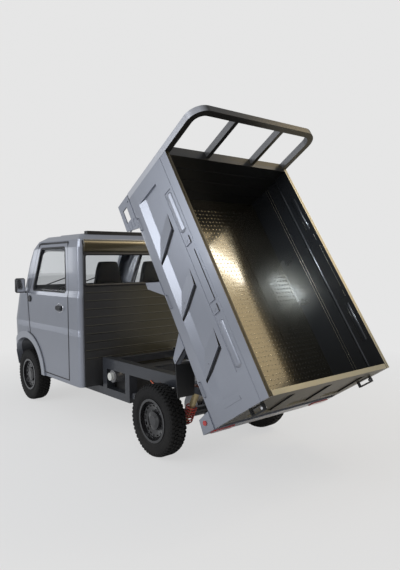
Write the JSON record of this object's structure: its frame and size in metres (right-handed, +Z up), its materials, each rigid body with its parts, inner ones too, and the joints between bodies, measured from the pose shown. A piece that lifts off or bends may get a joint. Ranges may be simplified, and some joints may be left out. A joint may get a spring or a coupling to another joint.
{
  "type": "electric mini tipper truck",
  "caption": "Small electric tipper truck: hollow two-seat cab, ladder chassis, steel load bed raised on its rear hinge with a front guard and drop tailgate, steered front wheels",
  "frame": {"origin": "on the ground, under the middle of the truck's length and width with the bed raised as stored", "axes": "+X forward towards the cab's nose, +Y to the truck's left, +Z up"},
  "size_m": [4.0554, 1.62, 2.4857],
  "materials": {
    "silver_paint": "metallic silver-grey paint, satin gloss",
    "dark_paint": "dark graphite paint, glossy",
    "frame_paint": "dark blue-grey chassis paint",
    "bed_inside": "glossy black coating",
    "motor_alloy": "cast housing",
    "damper_steel": "pale brass-coloured zinc plating",
    "spring_red": "red spring paint",
    "battery_case": "plain steel case",
    "pale_plastic": "pale moulded cap",
    "glass": "clear safety glass",
    "lamp_clear": "clear lamp lens",
    "lamp_red": "red lens",
    "black_plastic": "black moulded plastic",
    "seat_cover": "black seat cover",
    "flap_rubber": "dark rubber",
    "rod_chrome": "polished rod",
    "tyre": "black tyre rubber",
    "rim_black": "gloss black steel wheel"
  },
  "bodies": {
    "chassis": {"chassis_frame": "frame_paint", "rear_axle": "frame_paint", "drive_motor": "motor_alloy", "rear_dampers": "damper_steel", "rear_springs": "spring_red", "front_arms": "frame_paint", "battery_pack": "battery_case", "pump_unit": "motor_alloy", "pump_cap": "pale_plastic", "cab_rear_wall": "dark_paint", "cab_quarters": "silver_paint", "cab_roof": "silver_paint", "front_panel": "silver_paint", "wheel_flares": "silver_paint", "front_bumper": "silver_paint", "cab_floor": "frame_paint", "cab_glass": "glass", "headlamps": "lamp_clear", "roof_strip": "black_plastic", "mirrors": "black_plastic", "dashboard": "black_plastic", "steering_wheel": "black_plastic", "seats": "seat_cover"},
    "bed": {"bed_floor": "bed_inside", "bed_side_left": "silver_paint", "bed_side_right": "silver_paint", "bed_headboard": "bed_inside", "guard_frame": "silver_paint", "bed_brackets": "silver_paint", "mud_flaps": "flap_rubber", "light_bar": "silver_paint", "tail_lamps": "lamp_red"},
    "tailgate": {"tailgate": "silver_paint", "tailgate_latches": "black_plastic"},
    "door_left": {"door_left": "silver_paint", "door_glass_left": "glass", "door_fittings_left": "black_plastic"},
    "door_right": {"door_right": "silver_paint", "door_glass_right": "glass", "door_fittings_right": "black_plastic"},
    "knuckle_left": {"knuckle_left": "frame_paint"},
    "knuckle_right": {"knuckle_right": "frame_paint"},
    "tip_barrel": {"cylinder_barrel": "frame_paint"},
    "tip_rod": {"cylinder_rod": "rod_chrome"},
    "wheel_front_left": {"tyre_front_left": "tyre", "rim_front_left": "rim_black"},
    "wheel_front_right": {"tyre_front_right": "tyre", "rim_front_right": "rim_black"},
    "wheel_rear_left": {"tyre_rear_left": "tyre", "rim_rear_left": "rim_black"},
    "wheel_rear_right": {"tyre_rear_right": "tyre", "rim_rear_right": "rim_black"}
  },
  "joints": [
    {"name": "bed_tip", "type": "hinge", "parent": "chassis", "child": "bed", "pos_m": [-1.38429, 0, 0.58], "axis": [0, -1, 0], "range_deg": [-58, 0]},
    {"name": "tailgate_swing", "type": "hinge", "parent": "bed", "child": "tailgate", "pos_m": [-1.60984, 0, 0.43794], "axis": [0, -1, 0], "range_deg": [0, 90]},
    {"name": "door_left_swing", "type": "hinge", "parent": "chassis", "child": "door_left", "pos_m": [1.43271, 0.625, 1], "axis": [0, 0, -1], "range_deg": [0, 65]},
    {"name": "door_right_swing", "type": "hinge", "parent": "chassis", "child": "door_right", "pos_m": [1.43271, -0.625, 1], "axis": [0, 0, 1], "range_deg": [0, 65]},
    {"name": "steer_left", "type": "hinge", "parent": "chassis", "child": "knuckle_left", "pos_m": [1.48271, 0.43, 0.29], "axis": [0, 0, 1], "range_deg": [-28, 28]},
    {"name": "steer_right", "type": "hinge", "parent": "chassis", "child": "knuckle_right", "pos_m": [1.48271, -0.43, 0.29], "axis": [0, 0, 1], "range_deg": [-28, 28]},
    {"name": "spin_front_left", "type": "hinge", "parent": "knuckle_left", "child": "wheel_front_left", "pos_m": [1.48271, 0.545, 0.27], "axis": [0, 1, 0], "continuous": true},
    {"name": "spin_front_right", "type": "hinge", "parent": "knuckle_right", "child": "wheel_front_right", "pos_m": [1.48271, -0.545, 0.27], "axis": [0, 1, 0], "continuous": true},
    {"name": "spin_rear_left", "type": "hinge", "parent": "chassis", "child": "wheel_rear_left", "pos_m": [-0.81729, 0.545, 0.27], "axis": [0, 1, 0], "continuous": true},
    {"name": "spin_rear_right", "type": "hinge", "parent": "chassis", "child": "wheel_rear_right", "pos_m": [-0.81729, -0.545, 0.27], "axis": [0, 1, 0], "continuous": true},
    {"name": "barrel_tilt", "type": "hinge", "parent": "chassis", "child": "tip_barrel", "pos_m": [-1.20729, 0, 0.3], "axis": [0, -1, 0], "range_deg": [-31, 0]},
    {"name": "rod_slide", "type": "slide", "parent": "tip_barrel", "child": "tip_rod", "axis": [-0.0532, 0, 0.9986], "range_m": [-0.2328, 0]}
  ],
  "couplings": [
    {"joint": "steer_right", "follows": "steer_left", "ratio": 1},
    {"joint": "barrel_tilt", "follows": "bed_tip", "ratio": 0.52626},
    {"joint": "rod_slide", "follows": "bed_tip", "m_per_rad": 0.22899}
  ]
}
